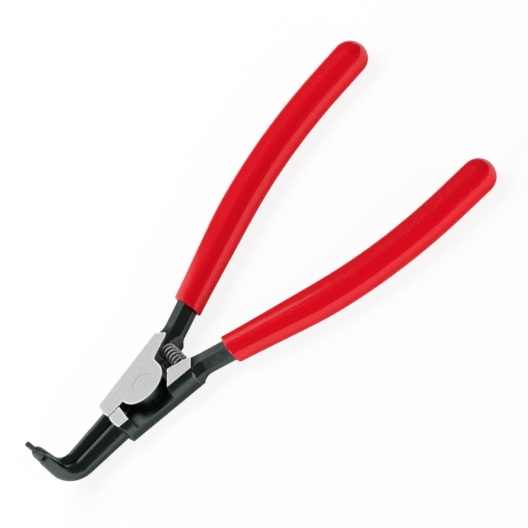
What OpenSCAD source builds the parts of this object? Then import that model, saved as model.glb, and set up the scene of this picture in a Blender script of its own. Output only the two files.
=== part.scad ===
// Pliers for outside circlips, with tips bent up at about a right angle.
// Two forged levers lap at a flush rivet without crossing, so squeezing the handles spreads the tips.
// The origin is on the pivot's axis, in the ground back face of the head. +X runs to the handles,
// +Y to the upper lever, and +Z is the way that the tips point. Sizes are in millimetres.

/* [Head] */
// Thickness of the head between its two ground faces
head_t = 8.4; // [7.6:0.1:9.6]
// Distance from the pivot to the jaw end of the head
head_front = 15.3; // [14.5:0.1:17]
// How far the jaw end bows out between its corners
head_front_bow = 0.7; // [0.2:0.1:1.2]
// How far the outer corners of the jaw end lie behind its middle
head_front_setback = 0.9; // [0:0.1:1.4]
// Half width of a ground face at the jaw end
head_front_half = 8.7; // [8:0.1:9.6]
// Angle at which each side of the head widens towards the handles
head_side_angle = 11.3; // [10:0.1:13]
// How far the forged sides bulge out past the ground faces
side_bulge = 1.6; // [0.8:0.1:2.2]
// Distance from the pivot to the rear end of the head, along the handle's line
head_rear = 20; // [19.5:0.1:22]
// Radius of the outer corner at the rear of the head
rear_corner_r = 2.6; // [1.5:0.1:4]
// Radius of the inner corner at the rear of the head
rear_inner_r = 0.8; // [0.4:0.1:1.2]
// Radius of the half-thick disc in which each lever laps the other
disc_r = 8.4; // [8:0.1:8.8]
// Width of the open ring between the disc and the end walls of its pocket
pocket_gap = 2.1; // [1.6:0.1:2.6]
// Angle by which the pocket's wall on the jaw side leans away from the pivot
pocket_front_angle = 4; // [0:0.5:8]
// Angle of the pocket's wall on the handle side
pocket_rear_angle = 30; // [26:0.5:34]
// Height above the middle line at which the web leaves the disc on the handle side
web_notch = 4.2; // [3.6:0.1:4.6]
// Gap between the two levers along the middle line
parting_gap = 0.5; // [0.3:0.05:0.8]
// Gap between the lapped discs
lap_gap = 0.06; // [0.04:0.01:0.1]
// How far the lower half plate reaches across the parting gap in front of the disc
seam_cover = 0.35; // [0.2:0.05:0.5]
// Gap between that reach and the upper lever's pocket wall
seam_cover_gap = 0.2; // [0.15:0.05:0.4]

/* [Pivot] */
// Diameter of the rivet's shank
rivet_d = 6; // [5:0.1:6.6]
// Diameter of the rivet's countersunk ends
rivet_head_d = 7.2; // [6.8:0.1:8]
// Depth of the countersinks
rivet_head_depth = 1.1; // [0.8:0.1:1.6]
// How far the ends of the rivet lie below the ground faces
rivet_recess = 0.05; // [0.02:0.01:0.1]
// Radial clearance of the levers on the rivet
run_gap = 0.03; // [0.02:0.01:0.08]

/* [Jaws] */
// Diameter of a jaw where it leaves the head
jaw_root_d = 7.3; // [6.4:0.1:7.4]
// Diameter of a jaw where its bend starts
jaw_bend_d = 6.1; // [5.4:0.1:6.4]
// Diameter of a jaw below its shoulder
jaw_end_d = 4; // [3.6:0.1:4.6]
// Diameter of the small end of the shoulder
shoulder_d = 3.1; // [3:0.1:3.4]
// Length of the straight jaw, from the head to the bend
jaw_length = 16.7; // [14:0.1:22]
// Radius of the bend along the jaw's middle
jaw_bend_r = 7; // [5:0.1:9]
// Angle of the bend
jaw_bend_angle = 86; // [75:1:90]
// Length of the bent end up to the shoulder
jaw_rise = 6.4; // [5:0.1:9]
// Length of the shoulder
shoulder_length = 1.1; // [0.6:0.1:2]
// How far the jaws lie below the middle of the head's thickness
jaw_drop = 0.5; // [0:0.1:0.6]

/* [Tips] */
// Diameter of a tip, which enters the hole in the circlip
tip_d = 1.8; // [1.4:0.05:2]
// Length of a tip outside its jaw
tip_length = 4.1; // [3:0.1:6]
// Width of the chamfer on the end of a tip
tip_chamfer = 0.15; // [0.05:0.05:0.3]
// Diameter of the tip's shank inside the jaw
tip_shank_d = 2.4; // [2.3:0.05:2.6]
// Length of the tip's shank inside the jaw
tip_shank_length = 6; // [4:0.1:8]
// Gap round what is pressed in or moulded on
seat_gap = 0.02; // [0.01:0.005:0.05]

/* [Spring] */
// Outside diameter of the spring
spring_d = 5.3; // [4.8:0.1:5.6]
// Diameter of the spring's wire
spring_wire = 0.8; // [0.6:0.05:0.9]
// Length of the spring with the tips closed
spring_length = 23; // [22:0.1:24]
// Turns of the spring, with the closed ones
spring_turns = 11.5; // [9:0.5:12.5]
// Closed turns at each end
spring_closed_turns = 1; // [0.5:0.25:1.5]
// Distance from the pivot to the spring
spring_x = 13.7; // [13.2:0.1:14.4]
// Radial clearance of the spring in its seats
spring_seat_gap = 0.25; // [0.15:0.05:0.4]
// Distance from the middle line to the flat land round a seat, at the spring's axis
land_distance = 7.15; // [6.8:0.05:7.6]
// Angle between the land and the middle line
land_angle = 14; // [10:0.5:18]

/* [Handles] */
// Angle between the middle line and the straight part of a handle
handle_angle = 29.5; // [26:0.5:33]
// How far the handle's line passes outside the pivot
handle_offset = 1.6; // [1.2:0.1:2]
// Distance from the pivot to the start of the curve, along the handle
handle_straight = 64; // [50:1:75]
// Radius of the curve
handle_curve_r = 135; // [110:1:170]
// Angle through which the handle curves back
handle_curve_angle = 25.5; // [15:0.5:32]
// Length of a handle from the pivot to its end, along the handle
handle_length = 141.5; // [125:0.5:160]
// Width of the bare shank
shank_w = 7.8; // [7:0.1:8.6]
// Thickness of the bare shank
shank_t = 6.4; // [5.8:0.1:7]
// Width of the upper chamfers along the shank and the tang
upper_chamfer_w = 2; // [1.2:0.1:2.4]
// Height of the upper chamfers
upper_chamfer_h = 3.2; // [2.6:0.1:3.4]
// Width of the lower chamfers
lower_chamfer_w = 1.8; // [1.2:0.1:2.4]
// Height of the lower chamfers
lower_chamfer_h = 2.1; // [1.6:0.1:2.3]
// Distance from the pivot to where the underside of the shank has filled out to its root
root_start = 18; // [17:0.1:19]
// Distance from the pivot to where that root starts
root_end = 22.5; // [21.5:0.1:24]
// How far the root stays above the back face of the head
root_step = 0.3; // [0.2:0.05:0.6]
// Length of the hollowed neck between the head and the shank
neck_length = 5; // [3:0.1:7]
// How far the neck starts below the ground faces
neck_step = 0.8; // [0.4:0.1:1]
// How much wider than the shank the neck starts, on its outer side
neck_flare = 1.4; // [0:0.1:2]
// Width of the tang inside the grip, where it is widest
tang_w = 10.8; // [9:0.1:12]
// Thickness of the tang inside the grip, where it is thickest
tang_t = 7.4; // [6.6:0.1:8]
// Distance from the pivot to where the tang starts to swell, along the handle
swell_start = 28; // [26:0.5:32]
// Length over which the tang swells
swell_length = 47; // [30:1:60]

/* [Grips] */
// Distance from the pivot to the edge of the grip, along the handle
grip_start = 33; // [30:0.5:40]
// Slant of that edge, which lies nearer the head on the inner side
grip_edge_slant = 20; // [0:1:30]
// Wall of the grip on the sides of the tang
grip_side_wall = 1.4; // [1:0.1:2]
// Wall of the grip on the faces of the tang
grip_face_wall = 1.2; // [0.8:0.1:1.6]
// Wall of the grip at its closed end
grip_end_wall = 2.5; // [1.5:0.1:4]
// Length of the rounded end of the grip
grip_round = 6; // [4:0.1:8]
// Rounding of the open edge of the grip
grip_lip = 0.6; // [0.3:0.1:0.9]
// How square the grip's section is, with 2 for an ellipse
grip_squareness = 2.5; // [2:0.1:3.2]

/* [Hidden] */
$fn = 64;

STEEL = [0.14, 0.16, 0.15];
BRIGHT = [0.78, 0.78, 0.77];
WIRE = [0.55, 0.56, 0.56];
RED = [0.85, 0.01, 0.12];

mid = head_t / 2;
half_gap = parting_gap / 2;
// Longer than the head in any direction, for solids that only cut it
past = 4 * head_rear;
// How far a cutter runs past what it cuts
overrun = 1;
// Radius of the round forged side whose chord is the head's thickness
barrel_r = (mid * mid + side_bulge * side_bulge) / (2 * side_bulge);
pocket_r = disc_r + pocket_gap;

jaw_z = mid - jaw_drop;
jaw_taper = (jaw_root_d - jaw_bend_d) / 2 / jaw_length;
// The inner sides of the jaws stay parallel, so each axis leans in by the taper
jaw_lean = atan(jaw_taper);
jaw_y = half_gap + jaw_root_d / 2;
// How far a jaw runs on inside the head
jaw_set_in = 3;

seat_floor = spring_length / 2 + seat_gap;
seat_r = spring_d / 2 + spring_seat_gap;

upper_chamfer = [upper_chamfer_w, upper_chamfer_h];
lower_chamfer = [lower_chamfer_w, lower_chamfer_h];
// Part of the lower chamfers that the root still has where it meets the head
root_chamfer = 0.15;
// Distance from the pivot to the end of the shank inside the head
core_start = 12;

handle_dir = [cos(handle_angle), sin(handle_angle)];
handle_side = [-sin(handle_angle), cos(handle_angle)];
curve_end = handle_straight + handle_curve_r * handle_curve_angle * PI / 180;
tang_end = handle_length - grip_end_wall;
// Length of the rounded end of the tang, and how much of its section is lost there
tang_round = 4;
tang_shrink = 0.75;
// Length over which the slant of the grip's edge runs out
slant_length = 14;
neck_rise = mid - neck_step - shank_t / 2;

// Points round the sections, which all start at their lower outer corner
EDGE_POINTS = 3;
RING_POINTS = 8 * EDGE_POINTS;
FIRST_ANGLE = -22.5;
WIRE_POINTS = 8;

// Steps along the curved shapes
TURN_STEPS = 16;
CORNER_STEPS = 6;
BEND_STEPS = 8;
NECK_STEPS = 6;
TANG_STEPS = 22;
TANG_ROUND_STEPS = 4;
GRIP_STEPS = 24;
LIP_ANGLES = [0 : 30 : 60];
TAIL_ANGLES = [15 : 15 : 75];

// Part of the grip's section that is left flat at its end
grip_flat = 0.1;
// Pitch of the closed turns of the spring, in wire diameters
closed_pitch = 1.06;

// Numbers and points
function clamp01(t) = min(1, max(0, t));
function smooth(t) = let (u = clamp01(t)) u * u * (3 - 2 * u);
function lerp(a, b, t) = a + (b - a) * t;
function unit(v) = v / norm(v);
function heading(v) = atan2(v.y, v.x);
function stations(from, to, count) = [for (i = [0 : count]) lerp(from, to, i / count)];

// The point where the line through p along u meets the line through q along v
function crossing(p, u, q, v) =
    let (w = q - p, along = (w.x * v.y - w.y * v.x) / (u.x * v.y - u.y * v.x))
    p + u * along;

// The arc that rounds corner a between points p and b
function rounded_corner(p, a, b, r) =
    let (
        u = unit(p - a),
        v = unit(b - a),
        half = acos(u * v) / 2,
        centre = a + unit(u + v) * r / sin(half),
        first = heading(a + u * r / tan(half) - centre),
        turn = heading(a + v * r / tan(half) - centre) - first,
        sweep = turn > 180 ? turn - 360 : turn < -180 ? turn + 360 : turn
    )
    [for (t = stations(0, 1, CORNER_STEPS)) centre + r * [cos(first + sweep * t), sin(first + sweep * t)]];

function middle(points) = [for (p = points) 1] * points / len(points);

// Closed solid through a row of rings that have equally many points, with a fan at each end
module skin(rings) {
    n = len(rings[0]);
    last = len(rings) - 1;
    first_hub = n * (last + 1);
    sides = [
        for (i = [0 : last - 1], j = [0 : n - 1])
            let (a = i * n + j, b = i * n + (j + 1) % n)
            each [[a, b + n, b], [a, a + n, b + n]]
    ];
    ends = [
        for (j = [0 : n - 1])
            let (a = last * n + j, b = last * n + (j + 1) % n)
            each [[first_hub, j, (j + 1) % n], [first_hub + 1, b, a]]
    ];
    hubs = [middle(rings[0]), middle(rings[last])];
    polyhedron(concat([for (ring = rings) each ring], hubs), concat(sides, ends));
}

// Line of the handle, by the distance s from the pivot along it
function handle_bend(s) = handle_curve_angle * clamp01((s - handle_straight) / (curve_end - handle_straight));
function handle_heading(s) = handle_angle - handle_bend(s);
function handle_point(s) =
    let (
        before = min(s, handle_straight),
        after = max(0, s - curve_end),
        a = handle_heading(s),
        start = handle_dir * before + handle_side * handle_offset,
        arc = handle_curve_r * [sin(handle_angle) - sin(a), cos(a) - cos(handle_angle)]
    )
    start + arc + after * [cos(a), sin(a)];

// A section, as points [across, up], set square to the handle's line
function handle_ring(s, section) =
    let (p = handle_point(s), a = handle_heading(s))
    [for (q = section) [p.x - q.x * sin(a), p.y + q.x * cos(a), mid + q.y]];

// Chamfered section between two corners, with a number of points spread along each edge
function chamfered(low, high, lower, upper, count) =
    let (
        corners = [
            [high.x, low.y + lower.y], [high.x, high.y - upper.y],
            [high.x - upper.x, high.y], [low.x + upper.x, high.y],
            [low.x, high.y - upper.y], [low.x, low.y + lower.y],
            [low.x + lower.x, low.y], [high.x - lower.x, low.y]
        ]
    )
    [for (i = [0 : 7], j = [0 : count - 1]) lerp(corners[i], corners[(i + 1) % 8], j / count)];

function rounded_power(v, power) = sign(v) * pow(abs(v), power);

// Rounded section between an ellipse and a rectangle
function oval(half) =
    [for (i = [0 : RING_POINTS - 1])
        let (a = FIRST_ANGLE + 360 * i / RING_POINTS, p = 2 / grip_squareness)
        [half.x * rounded_power(cos(a), p), half.y * rounded_power(sin(a), p)]];

// Half width and half thickness of the shank and tang
function tang_half(s) =
    lerp([shank_w, shank_t] / 2, [tang_w, tang_t] / 2, smooth((s - swell_start) / swell_length));

// The tang's end is rounded off, and so is the hole that it leaves in the grip
function end_scale(s) =
    let (u = clamp01((s - tang_end + tang_round) / tang_round))
    sqrt(1 - tang_shrink * u * u);

function tang_section(s, gap, count) =
    let (half = tang_half(s) * end_scale(s) + [gap, gap])
    chamfered(-half, half, lower_chamfer * end_scale(s), upper_chamfer * end_scale(s), count);

// Next to the head the shank runs out of a hollowed neck, and its underside fills out into a root
function shank_section(s) =
    let (
        half = tang_half(s),
        neck = pow(1 - clamp01((s - head_rear) / neck_length), 3),
        root = 1 - smooth((s - root_start) / (root_end - root_start))
    )
    chamfered(
        [-half.x, -lerp(half.y, mid - root_step, root)],
        [half.x + neck_flare * neck, half.y + neck_rise * neck],
        lower_chamfer * lerp(1, root_chamfer, root), upper_chamfer, 1
    );

TANG_STATIONS = concat(
    stations(grip_start, tang_end - tang_round, TANG_STEPS),
    [for (i = [1 : TANG_ROUND_STEPS]) lerp(tang_end - tang_round, tang_end, i / TANG_ROUND_STEPS)]
);

// Outline of one lever's head, seen from above
head_corner = [head_front_setback - head_front, head_front_half];
side_dir = [cos(head_side_angle), sin(head_side_angle)];
side_start = head_corner + side_bulge * [-side_dir.y, side_dir.x];
rear_point = handle_dir * head_rear;
front_seam = [-head_front, half_gap];
rear_outer = crossing(side_start, side_dir, rear_point, handle_side);
rear_web = handle_dir * pocket_r;

head_outline = concat(
    [[half_gap - disc_r, half_gap]],
    [for (t = stations(0, 1, CORNER_STEPS))
        lerp(front_seam, side_start, t) - [4 * head_front_bow * t * (1 - t), 0]],
    rounded_corner(side_start, rear_outer, rear_point, rear_corner_r),
    rounded_corner(rear_outer, rear_point, rear_web, rear_inner_r),
    [rear_web, [disc_r, web_notch], [disc_r, 0], [0, 0]]
);

// Everything inside the round forged side of a head
module forged_side() {
    translate([head_corner.x, head_corner.y, mid])
        rotate(head_side_angle)
            translate([-past / 2, side_bulge - barrel_r, 0]) {
                rotate([0, 90, 0]) cylinder(r = barrel_r, h = past);
                translate([0, -past, -mid]) cube([past, past, head_t]);
            }
}

// Half space on the far side of a pocket wall, at the pocket's radius and square to an angle
module beyond_pocket(angle) {
    rotate(angle)
        translate([pocket_r, -past / 2, -overrun])
            cube([past, past, head_t + 2 * overrun]);
}

module head_block(angle) {
    intersection() {
        linear_extrude(head_t) polygon(head_outline);
        beyond_pocket(angle);
    }
}

module head() {
    lap = mid + lap_gap / 2;
    intersection() {
        union() {
            translate([0, 0, lap]) {
                linear_extrude(head_t - lap) polygon(head_outline);
                cylinder(r = disc_r, h = head_t - lap);
            }
            head_block(180 + pocket_front_angle);
            head_block(pocket_rear_angle);
        }
        forged_side();
    }
}

module at_jaw_root() {
    translate([-head_front, jaw_y, jaw_z]) rotate(jaw_lean) children();
}

// Line of a jaw, by the distance s from the head along it
jaw_arc_end = jaw_length + jaw_bend_r * jaw_bend_angle * PI / 180;
jaw_shoulder = jaw_arc_end + jaw_rise;
jaw_end = jaw_shoulder + shoulder_length;
function jaw_turn(s) = jaw_bend_angle * clamp01((s - jaw_length) / (jaw_arc_end - jaw_length));
function jaw_point(s) =
    let (before = min(s, jaw_length), after = max(0, s - jaw_arc_end), a = jaw_turn(s))
    [-before - jaw_bend_r * sin(a) - after * cos(a), 0, jaw_bend_r * (1 - cos(a)) + after * sin(a)];

// The jaw tapers evenly to its bend, evenly on to its shoulder, and more steeply over the shoulder
function jaw_radius(s) =
    s < jaw_length ? jaw_root_d / 2 - jaw_taper * s
    : s < jaw_shoulder ? lerp(jaw_bend_d, jaw_end_d, (s - jaw_length) / (jaw_shoulder - jaw_length)) / 2
    : lerp(jaw_end_d, shoulder_d, (s - jaw_shoulder) / shoulder_length) / 2;

function jaw_ring(s) =
    let (a = jaw_turn(s))
    [for (i = [0 : RING_POINTS - 1])
        let (b = 360 * i / RING_POINTS)
        jaw_point(s) + jaw_radius(s) * [-sin(b) * sin(a), cos(b), -sin(b) * cos(a)]];

module at_shoulder_end() {
    at_jaw_root()
        translate(jaw_point(jaw_end))
            rotate([0, jaw_bend_angle - 90, 0]) children();
}

module jaw() {
    at_jaw_root()
        skin([
            jaw_ring(-jaw_set_in),
            for (s = stations(jaw_length, jaw_arc_end, BEND_STEPS)) jaw_ring(s),
            jaw_ring(jaw_shoulder),
            jaw_ring(jaw_end)
        ]);
}

module tip_hole() {
    at_shoulder_end()
        translate([0, 0, -tip_shank_length - seat_gap])
            cylinder(d = tip_shank_d + 2 * seat_gap, h = tip_shank_length + overrun);
}

module tip_pin() {
    at_shoulder_end() {
        translate([0, 0, -tip_shank_length]) cylinder(d = tip_shank_d, h = tip_shank_length);
        cylinder(d = tip_d, h = tip_length - tip_chamfer);
        translate([0, 0, tip_length - tip_chamfer])
            cylinder(d1 = tip_d, d2 = tip_d - 2 * tip_chamfer, h = tip_chamfer);
    }
}

// Everything on the spring's side of its land
module beyond_land() {
    translate([spring_x, land_distance, -overrun])
        rotate(land_angle)
            translate([-past / 2, -past, 0])
                cube([past, past, head_t + 2 * overrun]);
}

// Shank and tang as one loft, cut off flat where the spring presses
module handle_core() {
    neck_stations = stations(head_rear, head_rear + neck_length, NECK_STEPS);
    difference() {
        skin(concat(
            [for (s = concat([core_start, root_start], neck_stations)) handle_ring(s, shank_section(s))],
            [for (s = TANG_STATIONS) handle_ring(s, tang_section(s, 0, 1))]
        ));
        beyond_land();
    }
}

module spring_seat() {
    translate([spring_x, 0, mid]) rotate([-90, 0, 0]) cylinder(r = seat_r, h = seat_floor);
}

// The rivet's shape, or the hole for it with a gap all round and ends that run past both faces
module rivet_shape(gap, ends) {
    shank = rivet_d / 2 + gap;
    end = rivet_head_d / 2 + gap;
    low = rivet_recess - ends;
    high = head_t - low;
    rotate_extrude()
        polygon([
            [0, low], [end, low], [end, rivet_recess], [shank, rivet_recess + rivet_head_depth],
            [shank, head_t - rivet_recess - rivet_head_depth], [end, head_t - rivet_recess],
            [end, high], [0, high]
        ]);
}

module turned_over() {
    translate([0, 0, mid]) rotate([180, 0, 0]) translate([0, 0, -mid]) children();
}

module upper_lever() {
    color(STEEL)
        difference() {
            union() {
                head();
                jaw();
                handle_core();
            }
            rivet_shape(run_gap, overrun);
            spring_seat();
            tip_hole();
        }
}

// Reach of the lower half plate across the parting gap, between the disc and the upper pocket's wall
module seam_bridge() {
    front = pocket_r - seam_cover_gap;
    back = disc_r - overrun;
    translate([-front, -overrun, 0])
        cube([front - back, overrun + half_gap + seam_cover, mid - lap_gap / 2]);
}

// The lower head is the upper one turned over, but both jaws bend the same way
module lower_lever() {
    color(STEEL)
        difference() {
            union() {
                turned_over() head();
                seam_bridge();
                mirror([0, 1, 0]) {
                    jaw();
                    handle_core();
                }
            }
            rivet_shape(run_gap, overrun);
            mirror([0, 1, 0]) {
                spring_seat();
                tip_hole();
            }
        }
}

module upper_tip_pin() {
    color(BRIGHT) tip_pin();
}

module lower_tip_pin() {
    color(BRIGHT) mirror([0, 1, 0]) tip_pin();
}

module pivot_rivet() {
    color(BRIGHT) rivet_shape(0, 0);
}

// Distance along the spring's axis after a number of turns, with closed turns at both ends
function spring_rise(turn) =
    let (
        travel = spring_length - spring_wire,
        closed = spring_closed_turns * spring_wire * closed_pitch,
        open = (turn - spring_closed_turns) / (spring_turns - 2 * spring_closed_turns)
    )
    turn < spring_closed_turns ? closed * turn / spring_closed_turns
    : open > 1 ? travel - closed * (spring_turns - turn) / spring_closed_turns
    : lerp(closed, travel - closed, open);

function wire_ring(turn) =
    let (
        a = 360 * turn,
        out = [cos(a), 0, sin(a)],
        coil_r = (spring_d - spring_wire) / 2,
        start = [spring_x, (spring_wire - spring_length) / 2, mid],
        centre = start + coil_r * out + [0, spring_rise(turn), 0]
    )
    [for (i = [0 : WIRE_POINTS - 1])
        let (b = 360 * i / WIRE_POINTS)
        centre + spring_wire / 2 * (cos(b) * out + [0, sin(b), 0])];

module opening_spring() {
    color(WIRE) skin([for (turn = stations(0, spring_turns, spring_turns * TURN_STEPS)) wire_ring(turn)]);
}

// Distance along the handle of a point across it, where the slant of the open edge runs out to nothing
function slanted(s, across) =
    s + tan(grip_edge_slant) * across * (1 - smooth((s - grip_start) / slant_length));

// The hole for the tang, and the outside of the grip less a trim all round
function bore_section(s) = tang_section(s, seat_gap, EDGE_POINTS);
function bore_ring(s) =
    [for (i = [0 : RING_POINTS - 1])
        let (at = slanted(s, bore_section(s)[i].x))
        each handle_ring(at, [bore_section(at)[i]])];

function grip_section(s, trim) = oval(tang_half(s) + [grip_side_wall - trim, grip_face_wall - trim]);
function grip_ring(s, trim) =
    [for (i = [0 : RING_POINTS - 1])
        let (at = slanted(s, grip_section(s, trim)[i].x))
        each handle_ring(at, [grip_section(at, trim)[i]])];

// Hollow sleeve with a rounded lip and a rounded closed end
module grip() {
    round_start = handle_length - grip_round;
    round_half = tang_half(round_start) + [grip_side_wall, grip_face_wall];
    floor = handle_ring(tang_end + seat_gap, bore_section(tang_end));
    bore = [for (i = [len(TANG_STATIONS) - 1 : -1 : 0]) bore_ring(TANG_STATIONS[i])];
    lip = [for (a = LIP_ANGLES) grip_ring(grip_start + grip_lip * (1 - cos(a)), grip_lip * (1 - sin(a)))];
    body = [for (s = stations(grip_start + grip_lip, round_start, GRIP_STEPS)) grip_ring(s, 0)];
    tail = [for (a = TAIL_ANGLES) handle_ring(round_start + grip_round * sin(a), oval(round_half * cos(a)))];
    tip = handle_ring(handle_length, oval(round_half * grip_flat));
    skin(concat([floor], bore, lip, body, tail, [tip]));
}

module upper_grip() {
    color(RED) grip();
}

module lower_grip() {
    color(RED) mirror([0, 1, 0]) grip();
}

upper_lever();
lower_lever();
upper_tip_pin();
lower_tip_pin();
pivot_rivet();
opening_spring();
upper_grip();
lower_grip();
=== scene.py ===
import math

import bmesh
import bpy
from mathutils import Matrix, Vector


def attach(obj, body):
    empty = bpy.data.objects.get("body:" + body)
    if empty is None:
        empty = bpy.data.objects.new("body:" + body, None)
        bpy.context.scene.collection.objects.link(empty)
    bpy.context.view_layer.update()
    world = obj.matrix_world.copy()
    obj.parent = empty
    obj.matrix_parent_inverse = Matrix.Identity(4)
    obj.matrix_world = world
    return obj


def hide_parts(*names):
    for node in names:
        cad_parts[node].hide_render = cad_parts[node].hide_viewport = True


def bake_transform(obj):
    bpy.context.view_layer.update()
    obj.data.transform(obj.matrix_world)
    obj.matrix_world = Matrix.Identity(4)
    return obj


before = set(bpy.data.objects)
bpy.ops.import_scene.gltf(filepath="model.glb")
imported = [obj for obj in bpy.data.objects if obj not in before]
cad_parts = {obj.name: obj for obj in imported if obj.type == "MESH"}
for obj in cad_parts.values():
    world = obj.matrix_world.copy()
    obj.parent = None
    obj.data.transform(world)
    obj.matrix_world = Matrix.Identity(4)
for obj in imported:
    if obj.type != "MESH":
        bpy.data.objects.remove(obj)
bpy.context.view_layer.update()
scene = bpy.context.scene
scene.view_settings.view_transform = "Standard"

MM = 0.001

# Sizes of the levers, in millimetres; pairs are across the handle and up
HEAD_T = 8.4
MID = HEAD_T / 2
HANDLE_ANGLE = math.radians(29.5)
HANDLE_OFFSET = 1.6
HANDLE_STRAIGHT = 64.0
CURVE_R = 135.0
CURVE_ANGLE = math.radians(25.5)
CURVE_END = HANDLE_STRAIGHT + CURVE_R * CURVE_ANGLE
HANDLE_LENGTH = 141.5
SHANK_HALF = (3.9, 3.2)
TANG_HALF = (5.4, 3.7)
UPPER_CHAMFER = (2.0, 3.2)
LOWER_CHAMFER = (1.8, 2.1)
SWELL_START = 28.0
SWELL_LENGTH = 47.0
TANG_END = 139.0
TANG_ROUND = 4.0
TANG_SHRINK = 0.75

# Sizes of the grips
GRIP_START = 33.0
GRIP_SLANT = math.tan(math.radians(20))
SLANT_LENGTH = 14.0
GRIP_WALL = (1.35, 1.17)
GRIP_ROUND = 6.0
GRIP_LIP = 0.6
GRIP_SQUARENESS = 2.5
BORE_GAP = 0.03

# Points and rings of a grip; the bore's last rings are given by their distance from the open edge
GRIP_POINTS = 48
TANG_ROUND_RINGS = 6
BORE_RINGS = 32
BORE_RINGS_END = 9
BORE_LAST_RINGS = (6, 3, 1, 0.3)
LIP_RINGS = 8
BODY_RINGS = 96
END_RINGS = 15

# Sizes of the spring, and the points of its mesh
SPRING_X = 13.7
SPRING_D = 5.3
SPRING_WIRE = 0.8
SPRING_LENGTH = 23.0
SPRING_TURNS = 11.5
SPRING_CLOSED = 1.0
CLOSED_PITCH = 1.06
# Faces nearer the coil's axis than the wire's middle less this depth get painted shade
SHADE_DEPTH = 0.1
STEPS_PER_TURN = 32
WIRE_POINTS = 12

# Bevels and bands on the levers
SHARP_ANGLE = math.radians(25)
SAME_PLANE = math.radians(1)
RIM_WIDTH = 0.2
RIM_SEGMENTS = 1
RIM_BAND = 0.32
EDGE_ROUND = 0.16
EDGE_SEGMENTS = 2
ROUND_PROFILE = 0.5
ROOM = 1.6
SHORT_EDGE = 0.12
MERGE_GAP = 0.001
NEAR = 0.02

# Places on the levers; an angle in degrees and the rest in millimetres
RIVET_CLEAR = 3.9
REAR = 10.0
REAR_CORNER_TURN = (58, 72)
FRONT_EDGE_X = (-15.3, -14.4)
FRONT_EDGE_Y = 8.3
JAW_ROOT = -15.0
SEAM_STRIP = 0.6
BRIDGE_FRONT = -10.3
BRIDGE_HALF = 0.7
BRIDGE_FILL = 0.2
NECK = (20.05, 32.0)

# Limits for parts of unit vectors
LEVEL = 0.999
UPRIGHT = 0.1
CROSSWISE = 0.5


def clamp(t):
    return min(1.0, max(0.0, t))


def smooth(t):
    t = clamp(t)
    return t * t * (3 - 2 * t)


def lerp(a, b, t):
    return a + (b - a) * t


# Materials

# Most of a noise lies in this range
NOISE_RANGE = (0.3, 0.7)

# Places of the colour sockets in a mix node
MIX_A = 6
MIX_B = 7
MIX_RESULT = 2

GRINDING_TURN = math.radians(20)


class Shader:
    """A node material with one Principled shader, and short calls that add nodes to it."""

    def __init__(self, name):
        self.material = bpy.data.materials.new(name)
        self.material.use_nodes = True
        self.tree = self.material.node_tree
        self.shader = self.tree.nodes["Principled BSDF"]
        self.place = self.add("ShaderNodeTexCoord").outputs["Object"]

    def add(self, kind, **values):
        node = self.tree.nodes.new(kind)
        for key, value in values.items():
            setattr(node, key, value)
        return node

    def put(self, socket, value):
        if isinstance(value, bpy.types.NodeSocket):
            self.tree.links.new(value, socket)
        else:
            socket.default_value = value

    def set(self, **values):
        for key, value in values.items():
            self.put(self.shader.inputs[key.replace("_", " ")], value)

    def mix(self, factor, a, b):
        node = self.add("ShaderNodeMix", data_type="RGBA")
        self.put(node.inputs[0], factor)
        self.put(node.inputs[MIX_A], a)
        self.put(node.inputs[MIX_B], b)
        return node.outputs[MIX_RESULT]

    def steps(self, value, low, high, out_low=0.0, out_high=1.0):
        node = self.add("ShaderNodeMapRange")
        for socket, number in zip(node.inputs, (value, low, high, out_low, out_high)):
            self.put(socket, number)
        return node.outputs[0]

    def spread(self, noise, out_low, out_high):
        return self.steps(noise, *NOISE_RANGE, out_low, out_high)

    def stretched(self, scale, turn=0.0):
        node = self.add("ShaderNodeMapping")
        self.put(node.inputs["Vector"], self.place)
        node.inputs["Scale"].default_value = scale
        node.inputs["Rotation"].default_value = (0, 0, turn)
        return node.outputs[0]

    def noise(self, scale, detail, rough=0.5, at=None):
        node = self.add("ShaderNodeTexNoise")
        self.put(node.inputs["Vector"], self.place if at is None else at)
        node.inputs["Scale"].default_value = scale
        node.inputs["Detail"].default_value = detail
        node.inputs["Roughness"].default_value = rough
        return node.outputs["Fac"]

    def bump(self, height, strength, depth):
        node = self.add("ShaderNodeBump")
        self.put(node.inputs["Height"], height)
        node.inputs["Strength"].default_value = strength
        node.inputs["Distance"].default_value = depth * MM
        self.put(self.shader.inputs["Normal"], node.outputs["Normal"])


def black_oxide():
    m = Shader("black_oxide")
    dark = (0.0008, 0.0018, 0.0015, 1)
    light = (0.0022, 0.0038, 0.0033, 1)
    m.set(
        Base_Color=m.mix(m.noise(scale=140, detail=4), dark, light),
        Roughness=m.spread(m.noise(scale=420, detail=4), 0.22, 0.32),
        IOR=1.64,
        Specular_IOR_Level=1.0,
        Specular_Tint=(0.74, 1.0, 0.91, 1),
    )
    m.bump(m.noise(scale=5200, detail=3, rough=0.6), strength=0.1, depth=0.03)
    return m.material


# Lighter edge material in two tones mixed by noise; on the bevelled edges it is partly wear and
# partly painted highlight, on the rear corner and the front edge of a head it is a painted
# highlight
def edge_wear_and_painted_highlight(name, dark, bare_and_highlit):
    m = Shader(name)
    wear_and_sheen = m.steps(m.noise(scale=1400, detail=3, rough=0.6), 0.35, 0.75)
    m.set(
        Base_Color=m.mix(wear_and_sheen, dark, bare_and_highlit),
        Roughness=m.steps(wear_and_sheen, 0, 1, 0.34, 0.28),
        Metallic=m.steps(wear_and_sheen, 0, 1, 0.3, 0.8),
    )
    return m.material


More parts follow.
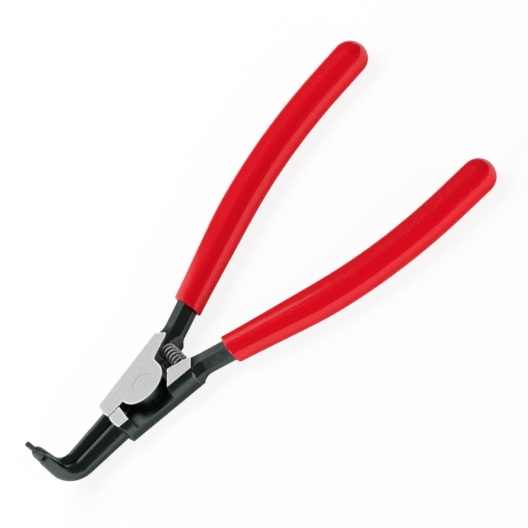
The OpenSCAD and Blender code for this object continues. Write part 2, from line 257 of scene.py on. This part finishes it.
def ground_steel():
    m = Shader("ground_steel")
    dark = (0.55, 0.553, 0.54, 1)
    light = (0.77, 0.773, 0.756, 1)
    along_lines = m.stretched((260, 9000, 260), GRINDING_TURN)
    lines = m.noise(scale=1.0, detail=3, rough=0.6, at=along_lines)
    speckle = m.steps(m.noise(scale=1300, detail=3, rough=0.7), 0.25, 0.75)
    m.set(
        Base_Color=m.mix(speckle, dark, light),
        Roughness=m.spread(lines, 0.4, 0.52),
        Metallic=0.35,
    )
    m.bump(lines, strength=0.15, depth=0.02)
    return m.material


# Near-white steel for the narrow band round the ground faces: a painted highlight along their edges
def painted_rim_highlight():
    m = Shader("painted_rim_highlight")
    dark = (0.86, 0.862, 0.852, 1)
    light = (0.94, 0.942, 0.932, 1)
    m.set(
        Base_Color=m.mix(m.noise(scale=900, detail=2), dark, light),
        Roughness=m.spread(m.noise(scale=2400, detail=2), 0.36, 0.46),
        Metallic=0.2,
    )
    return m.material


def tip_steel():
    m = Shader("tip_steel")
    dark = (0.07, 0.075, 0.073, 1)
    light = (0.15, 0.156, 0.153, 1)
    turned = m.noise(scale=1.0, detail=2, at=m.stretched((600, 600, 7000)))
    m.set(
        Base_Color=m.mix(m.noise(scale=700, detail=3), dark, light),
        Roughness=m.spread(turned, 0.26, 0.4),
        Metallic=1.0,
    )
    m.bump(turned, strength=0.12, depth=0.02)
    return m.material


def spring_steel():
    m = Shader("spring_steel")
    dark = (0.5, 0.51, 0.505, 1)
    light = (0.66, 0.67, 0.665, 1)
    drawn = m.noise(scale=1800, detail=2)
    m.set(
        Base_Color=m.mix(m.noise(scale=600, detail=3), dark, light),
        Roughness=m.spread(drawn, 0.26, 0.38),
        Metallic=0.4,
    )
    m.bump(drawn, strength=0.05, depth=0.02)
    return m.material


# Near-black material for the inner side of the spring's wire: painted shade, standing in for the
# shadow inside the coil
def painted_shade_wire():
    m = Shader("painted_shade_wire")
    dark = (0.004, 0.005, 0.005, 1)
    light = (0.012, 0.013, 0.013, 1)
    m.set(
        Base_Color=m.mix(m.noise(scale=600, detail=3), dark, light),
        Roughness=m.spread(m.noise(scale=1800, detail=2), 0.4, 0.5),
    )
    return m.material


def red_plastic():
    m = Shader("red_plastic")
    dark = (0.73, 0.0002, 0.0095, 1)
    light = (0.77, 0.0004, 0.0115, 1)
    m.set(
        Base_Color=m.mix(m.noise(scale=60, detail=3), dark, light),
        Roughness=m.spread(m.noise(scale=300, detail=3), 0.1, 0.14),
        Specular_IOR_Level=0.5,
    )
    m.bump(m.noise(scale=900, detail=2, rough=0.4), strength=0.02, depth=0.04)
    return m.material


BLACK = black_oxide()
GROUND = ground_steel()
RIM = painted_rim_highlight()
# Bevelled edges: lighter than the black oxide, partly wear and partly painted highlight. Round
# corner at the rear and front edge of the barrel: a brighter painted highlight.
EDGE = edge_wear_and_painted_highlight("edge_wear_and_painted_highlight", dark=(0.03, 0.035, 0.033, 1), bare_and_highlit=(0.15, 0.16, 0.155, 1))
CORNER = edge_wear_and_painted_highlight("painted_highlight_corner", dark=(0.14, 0.15, 0.146, 1), bare_and_highlit=(0.34, 0.35, 0.345, 1))
TIP = tip_steel()
WIRE = spring_steel()
WIRE_SHADE = painted_shade_wire()
RED = red_plastic()

# Materials of a lever, and the place of each in its mesh's list; the rim and the corner are painted
# highlights, the edges partly wear and partly painted highlight
LEVER_MATERIALS = (BLACK, GROUND, RIM, EDGE, CORNER)
AT_BLACK, AT_GROUND, AT_RIM, AT_EDGE, AT_CORNER = range(len(LEVER_MATERIALS))


# Meshes


def new_piece(name, bm, body, materials, stands_for):
    mesh = bpy.data.meshes.new(name)
    bm.to_mesh(mesh)
    bm.free()
    for material in materials:
        mesh.materials.append(material)
    piece = bpy.data.objects.new(name, mesh)
    scene.collection.objects.link(piece)
    if body:
        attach(piece, body)
    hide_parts(stands_for)
    return piece


def loft(rings):
    """Quads through a row of rings of equally many points, with a fan at each end."""
    bm = bmesh.new()
    rows = [[bm.verts.new(Vector(p) * MM) for p in ring] for ring in rings]
    count = len(rows[0])
    for low, high in zip(rows, rows[1:]):
        for i in range(count):
            j = (i + 1) % count
            bm.faces.new((low[i], low[j], high[j], high[i]))
    for row, flip in ((rows[0], True), (rows[-1], False)):
        hub = bm.verts.new(sum((v.co for v in row), Vector()) / count)
        for i in range(count):
            a, b = row[i], row[(i + 1) % count]
            bm.faces.new((b, a, hub) if flip else (a, b, hub))
    bmesh.ops.recalc_face_normals(bm, faces=bm.faces)
    for face in bm.faces:
        face.smooth = True
    return bm


# Line of a handle, by the distance s from the pivot along it


def handle_heading(s):
    return HANDLE_ANGLE - CURVE_ANGLE * clamp((s - HANDLE_STRAIGHT) / (CURVE_END - HANDLE_STRAIGHT))


def handle_point(s):
    a = handle_heading(s)
    before = min(s, HANDLE_STRAIGHT)
    after = max(0.0, s - CURVE_END)
    x = before * math.cos(HANDLE_ANGLE) - HANDLE_OFFSET * math.sin(HANDLE_ANGLE)
    y = before * math.sin(HANDLE_ANGLE) + HANDLE_OFFSET * math.cos(HANDLE_ANGLE)
    x += CURVE_R * (math.sin(HANDLE_ANGLE) - math.sin(a)) + after * math.cos(a)
    y += CURVE_R * (math.cos(a) - math.cos(HANDLE_ANGLE)) + after * math.sin(a)
    return x, y


def on_handle(s, across, up, side):
    x, y = handle_point(s)
    a = handle_heading(s)
    return (x - across * math.sin(a), side * (y + across * math.cos(a)), MID + up)


def tang_half(s):
    t = smooth((s - SWELL_START) / SWELL_LENGTH)
    return lerp(SHANK_HALF[0], TANG_HALF[0], t), lerp(SHANK_HALF[1], TANG_HALF[1], t)


# Grips, as hollow sleeves with a slanted open edge


def slanted(s, across):
    return s + GRIP_SLANT * across * (1 - smooth((s - GRIP_START) / SLANT_LENGTH))


def grip_turn(i):
    return 2 * math.pi * (i + 0.5) / GRIP_POINTS


def grip_outline(s, trim=0.0, shrink=1.0):
    half = tang_half(s)
    power = 2 / GRIP_SQUARENESS
    points = []
    for i in range(GRIP_POINTS):
        c, d = math.cos(grip_turn(i)), math.sin(grip_turn(i))
        points.append((
            math.copysign(abs(c) ** power, c) * (half[0] + GRIP_WALL[0] - trim) * shrink,
            math.copysign(abs(d) ** power, d) * (half[1] + GRIP_WALL[1] - trim) * shrink,
        ))
    return points


def tang_end_scale(s):
    u = clamp((s - TANG_END + TANG_ROUND) / TANG_ROUND)
    return math.sqrt(1 - TANG_SHRINK * u * u)


def grip_bore(s):
    """The tang's chamfered section, a little larger than the tang."""
    scale = tang_end_scale(s)
    half = [h * scale + BORE_GAP for h in tang_half(s)]
    points = []
    for i in range(GRIP_POINTS):
        c, d = math.cos(grip_turn(i)), math.sin(grip_turn(i))
        x, y = abs(c), abs(d)
        w, h = [scale * size for size in (UPPER_CHAMFER if d > 0 else LOWER_CHAMFER)]
        slope = (half[0] * h + half[1] * w - w * h) / (x * h + y * w)
        reach = min(half[0] / x, half[1] / y, slope)
        points.append((c * reach, d * reach))
    return points


def grip_ring(s, outline, side):
    ring = []
    for i, point in enumerate(outline(s)):
        at = slanted(s, point[0])
        across, up = outline(at)[i]
        ring.append(on_handle(at, across, up, side))
    return ring


def grip(name, body, side):
    """A sleeve from the bottom of its bore to the open edge, and back along the outside."""
    round_start = TANG_END - TANG_ROUND
    fine_start = GRIP_START + BORE_RINGS_END
    bore = [TANG_END + BORE_GAP]
    bore += [TANG_END - TANG_ROUND * i / TANG_ROUND_RINGS for i in range(TANG_ROUND_RINGS)]
    bore += [lerp(round_start, fine_start, i / BORE_RINGS) for i in range(BORE_RINGS + 1)]
    bore += [GRIP_START + distance for distance in BORE_LAST_RINGS]
    rings = [grip_ring(s, grip_bore, side) for s in bore]
    for i in range(LIP_RINGS):
        a = math.pi / 2 * i / LIP_RINGS
        s = GRIP_START + GRIP_LIP * (1 - math.cos(a))
        trim = GRIP_LIP * (1 - math.sin(a))
        rings.append(grip_ring(s, lambda at, t=trim: grip_outline(at, t), side))
    start = GRIP_START + GRIP_LIP
    stop = HANDLE_LENGTH - GRIP_ROUND
    for i in range(BODY_RINGS + 1):
        rings.append(grip_ring(lerp(start, stop, i / BODY_RINGS), grip_outline, side))
    for i in range(1, END_RINGS):
        a = math.pi / 2 * i / END_RINGS
        s = stop + GRIP_ROUND * math.sin(a)
        outline = grip_outline(stop, shrink=math.cos(a))
        rings.append([on_handle(s, across, up, side) for across, up in outline])
    new_piece(name, loft(rings), body, [RED], name.replace("_sleeve", "_grip"))


grip("upper_sleeve", "upper", 1)
grip("lower_sleeve", "lower", -1)


# Coil spring between the two levers


def spring_rise(turn):
    travel = SPRING_LENGTH - SPRING_WIRE
    closed = SPRING_CLOSED * SPRING_WIRE * CLOSED_PITCH
    open_part = (turn - SPRING_CLOSED) / (SPRING_TURNS - 2 * SPRING_CLOSED)
    if turn < SPRING_CLOSED:
        return closed * turn / SPRING_CLOSED
    if open_part > 1:
        return travel - closed * (SPRING_TURNS - turn) / SPRING_CLOSED
    return lerp(closed, travel - closed, open_part)


def spring():
    coil_r = (SPRING_D - SPRING_WIRE) / 2
    wire_r = SPRING_WIRE / 2
    rings, heights = [], []
    for step in range(int(SPRING_TURNS * STEPS_PER_TURN) + 1):
        turn = step / STEPS_PER_TURN
        a = 2 * math.pi * turn
        y = (SPRING_WIRE - SPRING_LENGTH) / 2 + spring_rise(turn)
        ring = []
        for i in range(WIRE_POINTS):
            b = 2 * math.pi * i / WIRE_POINTS
            r = coil_r + wire_r * math.cos(b)
            ring.append((
                SPRING_X + r * math.cos(a),
                y + wire_r * math.sin(b),
                MID + r * math.sin(a),
            ))
        rings.append(ring)
        heights.append(y)
    coil = loft(rings)
    # Faces on the inner side of the wire, towards the coil's axis, get the near-black painted
    # shade; the rest is spring steel
    materials = [WIRE, WIRE_SHADE]
    for face in coil.faces:
        centre = face.calc_center_median()
        off = Vector((centre.x - SPRING_X * MM, centre.z - MID * MM)).length
        outside = off > (coil_r - SHADE_DEPTH) * MM
        face.material_index = materials.index(WIRE if outside else WIRE_SHADE)
    piece = new_piece("return_spring", coil, None, materials, "opening_spring")
    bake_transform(piece)
    # The share of the upper lever at each point, by its ring, and last the hubs of the two ends
    shares = []
    for y in heights:
        shares += [0.5 + y / SPRING_LENGTH] * WIRE_POINTS
    shares += [shares[0], shares[-1]]


spring()


# Levers, with rounded edges and ground faces


def is_level_end(face):
    """Whether a face lies in the ground plane at the front or the back of the head."""
    z = face.calc_center_median().z / MM
    return abs(face.normal.z) > LEVEL and (z > HEAD_T - NEAR or z < NEAR)


def is_front_ground(face):
    return face.material_index == AT_GROUND and face.normal.z > 0


def outside_rivet(part):
    return min(v.co.xy.length for v in part.verts) > RIVET_CLEAR * MM


def on_neck(edge):
    """Whether an edge runs round the neck of a shank, which is one smooth hollow."""
    along = Vector((math.cos(HANDLE_ANGLE), math.sin(HANDLE_ANGLE), 0))
    a, b = [Vector((v.co.x, abs(v.co.y), v.co.z)) for v in edge.verts]
    nearest = min(a.dot(along), b.dot(along)) / MM
    return NECK[0] < nearest < NECK[1] and abs((b - a).normalized().dot(along)) < CROSSWISE


def in_thin_web(edge):
    """Whether an edge runs so close to a ground face that its bevel would meet the rim's."""
    limit = (RIM_WIDTH + EDGE_ROUND) * MM
    return all(
        v.co.x > REAR * MM and min(v.co.z, HEAD_T * MM - v.co.z) < limit for v in edge.verts
    )


def at_jaw_seam(edge):
    """Whether an edge is in the narrow front face between the seam and the root of a jaw."""
    return all(v.co.x < JAW_ROOT * MM and abs(v.co.y) < SEAM_STRIP * MM for v in edge.verts)


def is_sharp(edge):
    """Whether an edge of the black faces gets a bevel."""
    return (
        edge.is_manifold and outside_rivet(edge) and edge.calc_face_angle(0) > SHARP_ANGLE
        and all(f.material_index == AT_BLACK for f in edge.link_faces)
        and not on_neck(edge) and not in_thin_web(edge) and not at_jaw_seam(edge)
    )


def is_rim(edge):
    """Whether an edge lies between a ground face and a black one."""
    face_materials = [f.material_index for f in edge.link_faces]
    return edge.is_manifold and outside_rivet(edge) and face_materials.count(AT_GROUND) == 1


def has_room(edge, width):
    """Whether the faces beside an edge are wide enough for a bevel."""
    return all(
        face.calc_area() > ROOM * width * MM * max(e.calc_length() for e in face.edges)
        for face in edge.link_faces
    )


def on_rear_corner(face, side):
    """Whether a face is the middle strip of the round corner at the rear of a head."""
    turn = math.degrees(math.atan2(side * face.normal.y, face.normal.x))
    return (
        REAR_CORNER_TURN[0] < turn < REAR_CORNER_TURN[1]
        and abs(face.normal.z) < UPRIGHT
        and face.calc_center_median().x > REAR * MM
    )


def on_front_edge(face):
    """Whether a face belongs to the rounded edge at the front of a barrel."""
    centre = face.calc_center_median() / MM
    return FRONT_EDGE_X[0] < centre.x < FRONT_EDGE_X[1] and abs(centre.y) > FRONT_EDGE_Y


def break_edges(bm, edges, width, segments, material_place):
    made = bmesh.ops.bevel(
        bm, geom=[e for e in edges if has_room(e, width)], offset=width * MM, offset_type="OFFSET",
        segments=segments, profile=ROUND_PROFILE, affect="EDGES", clamp_overlap=False,
    )
    for face in made["faces"]:
        face.material_index = material_place


def paint_rim_highlight(bm):
    """A painted highlight: a bright narrow band along the outer border of the ground faces at the
    front.
    """
    border = [v for v in bm.verts if any(is_front_ground(f) for f in v.link_faces)]
    bmesh.ops.remove_doubles(bm, verts=border, dist=SHORT_EDGE * MM)
    ground = [f for f in bm.faces if is_front_ground(f)]
    band = bmesh.ops.inset_region(
        bm, faces=ground, thickness=RIM_BAND * MM, use_boundary=True, use_even_offset=True,
    )
    for face in band["faces"]:
        if outside_rivet(face):
            face.material_index = AT_RIM


def fill_bridge(bm):
    """Move the bridge's front wall forward, to close the view through the gap at the seam."""
    for vert in bm.verts:
        if abs(vert.co.x - BRIDGE_FRONT * MM) < NEAR * MM and abs(vert.co.y) < BRIDGE_HALF * MM:
            vert.co.x -= BRIDGE_FILL * MM


def forging(name, body, node):
    """A lever with ground faces, a near-white painted highlight round them, and lighter edges,
    partly worn and partly painted highlight.
    """
    bm = bmesh.new()
    bm.from_mesh(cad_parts[node].data)
    bmesh.ops.remove_doubles(bm, verts=bm.verts, dist=MERGE_GAP * MM)
    fill_bridge(bm)
    outer = [v for v in bm.verts if v.co.xy.length > RIVET_CLEAR * MM]
    bmesh.ops.remove_doubles(bm, verts=outer, dist=SHORT_EDGE * MM)
    bmesh.ops.dissolve_limit(bm, angle_limit=SAME_PLANE, verts=bm.verts, edges=bm.edges)
    for face in bm.faces:
        face.material_index = AT_GROUND if is_level_end(face) else AT_BLACK
    # The chamfer between each ground face and the black faces, and then a band inside the ground
    # face, get the near-white painted highlight
    break_edges(bm, [e for e in bm.edges if is_rim(e)], RIM_WIDTH, RIM_SEGMENTS, AT_RIM)
    paint_rim_highlight(bm)
    break_edges(bm, [e for e in bm.edges if is_sharp(e)], EDGE_ROUND, EDGE_SEGMENTS, AT_EDGE)
    bmesh.ops.dissolve_degenerate(bm, dist=MERGE_GAP * MM, edges=bm.edges)
    side = 1 if body == "upper" else -1
    # The round corner at the rear of the head and the rounded front edge of the barrel get the
    # brighter painted highlight
    for face in bm.faces:
        if face.material_index == AT_BLACK and on_rear_corner(face, side):
            face.material_index = AT_CORNER
        if face.material_index == AT_EDGE and on_front_edge(face):
            face.material_index = AT_CORNER
        face.smooth = face.material_index != AT_RIM
    for edge in bm.edges:
        edge.smooth = edge.calc_face_angle(0) < SHARP_ANGLE or on_neck(edge)
    piece = new_piece(name, bm, body, LEVER_MATERIALS, node)
    piece.modifiers.new("normals", "WEIGHTED_NORMAL").keep_sharp = True


forging("upper_forging", "upper", "upper_lever")
forging("lower_forging", "lower", "lower_lever")


# Tips and rivet, which stay as they are in the solids

for node, material in (("upper_tip_pin", TIP), ("lower_tip_pin", TIP), ("pivot_rivet", GROUND)):
    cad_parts[node].data.materials.clear()
    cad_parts[node].data.materials.append(material)


# Camera at the photograph's angle, rolled so that the handles run to the upper right

RIGHT = Vector((0.702, -0.396, -0.592)).normalized()
UP_HINT = Vector((0.712, 0.390, 0.583))
UP = (UP_HINT - RIGHT * RIGHT.dot(UP_HINT)).normalized()
BACK = RIGHT.cross(UP)
ROLL = math.radians(-0.517)
TARGET = Vector((55.37, 2.88, 4.2)) * MM
DISTANCE = 4.0
CLIP_END = 20
SENSOR_WIDTH = 36
PHOTO_PIXELS = 528
PIXELS_PER_MM = 3.082
FRAME_WIDTH = PHOTO_PIXELS / PIXELS_PER_MM * MM

camera_data = bpy.data.cameras.new("camera")
camera = bpy.data.objects.new("camera", camera_data)
scene.collection.objects.link(camera)
scene.camera = camera
camera_data.sensor_width = SENSOR_WIDTH
camera_data.lens = SENSOR_WIDTH * DISTANCE / FRAME_WIDTH
camera_data.clip_end = CLIP_END
axes = Matrix((RIGHT, UP, BACK)).transposed()
axes = Matrix.Rotation(ROLL, 3, BACK) @ axes
camera.matrix_world = Matrix.Translation(TARGET + BACK * DISTANCE) @ axes.to_4x4()


# Floor, in metres, of white paper that glows for the camera and faintly in mirrored views

FLOOR_HALF = 4
FLOOR_Z = -0.0008
PAPER = (0.92, 0.92, 0.92, 1)
GLOW_SEEN = 0.88
GLOW_MIRRORED = 0.03

corners = [
    (x * FLOOR_HALF, y * FLOOR_HALF, FLOOR_Z) for x, y in ((-1, -1), (1, -1), (1, 1), (-1, 1))
]
floor_mesh = bpy.data.meshes.new("floor")
floor_mesh.from_pydata(corners, [], [(0, 1, 2, 3)])
floor = bpy.data.objects.new("floor", floor_mesh)
scene.collection.objects.link(floor)


def floor_material():
    material = bpy.data.materials.new("floor")
    material.use_nodes = True
    tree = material.node_tree
    tree.nodes.remove(tree.nodes["Principled BSDF"])
    out = tree.nodes["Material Output"]
    paper = tree.nodes.new("ShaderNodeBsdfDiffuse")
    paper.inputs["Color"].default_value = PAPER
    glow = tree.nodes.new("ShaderNodeEmission")
    path = tree.nodes.new("ShaderNodeLightPath")
    mirrored = tree.nodes.new("ShaderNodeMath")
    mirrored.operation = "MAXIMUM"
    tree.links.new(path.outputs["Is Glossy Ray"], mirrored.inputs[0])
    tree.links.new(path.outputs["Is Transmission Ray"], mirrored.inputs[1])
    part = tree.nodes.new("ShaderNodeMath")
    part.operation = "MULTIPLY"
    part.inputs[1].default_value = GLOW_MIRRORED
    tree.links.new(mirrored.outputs[0], part.inputs[0])
    share = tree.nodes.new("ShaderNodeMath")
    share.operation = "MULTIPLY_ADD"
    share.inputs[1].default_value = GLOW_SEEN
    tree.links.new(path.outputs["Is Camera Ray"], share.inputs[0])
    tree.links.new(part.outputs[0], share.inputs[2])
    mix = tree.nodes.new("ShaderNodeMixShader")
    tree.links.new(share.outputs[0], mix.inputs[0])
    tree.links.new(paper.outputs[0], mix.inputs[1])
    tree.links.new(glow.outputs[0], mix.inputs[2])
    tree.links.new(mix.outputs[0], out.inputs["Surface"])
    return material


floor_mesh.materials.append(floor_material())


# Lights, in metres and watts

WORLD_STRENGTH = 0.08
AIM = Vector((0.045, 0, 0))

world = bpy.data.worlds.new("studio")
scene.world = world
world.use_nodes = True
world.node_tree.nodes["Background"].inputs["Color"].default_value = (1, 1, 1, 1)
world.node_tree.nodes["Background"].inputs["Strength"].default_value = WORLD_STRENGTH


def panel(name, place, size, power, mirrored=True):
    """A soft rectangular lamp that faces the object; the steel may mirror it or not."""
    data = bpy.data.lights.new(name, "AREA")
    data.shape = "RECTANGLE"
    data.size, data.size_y = size
    data.energy = power
    lamp = bpy.data.objects.new(name, data)
    lamp.location = place
    lamp.rotation_mode = "QUATERNION"
    lamp.rotation_quaternion = (AIM - Vector(place)).to_track_quat("-Z", "Y")
    lamp.visible_glossy = mirrored
    scene.collection.objects.link(lamp)


panel("back_fill", place=(-0.1, 0.85, 0.95), size=(1.2, 0.7), power=17.5, mirrored=False)
panel("front_fill", place=(0.4, -1.2, 0.24), size=(0.9, 0.25), power=11, mirrored=False)
panel("head_card", place=(-0.12, 0.33, 0.18), size=(0.3, 0.36), power=0.28)
panel("left", place=(-0.85, -0.1, 0.28), size=(0.4, 0.3), power=3.0)
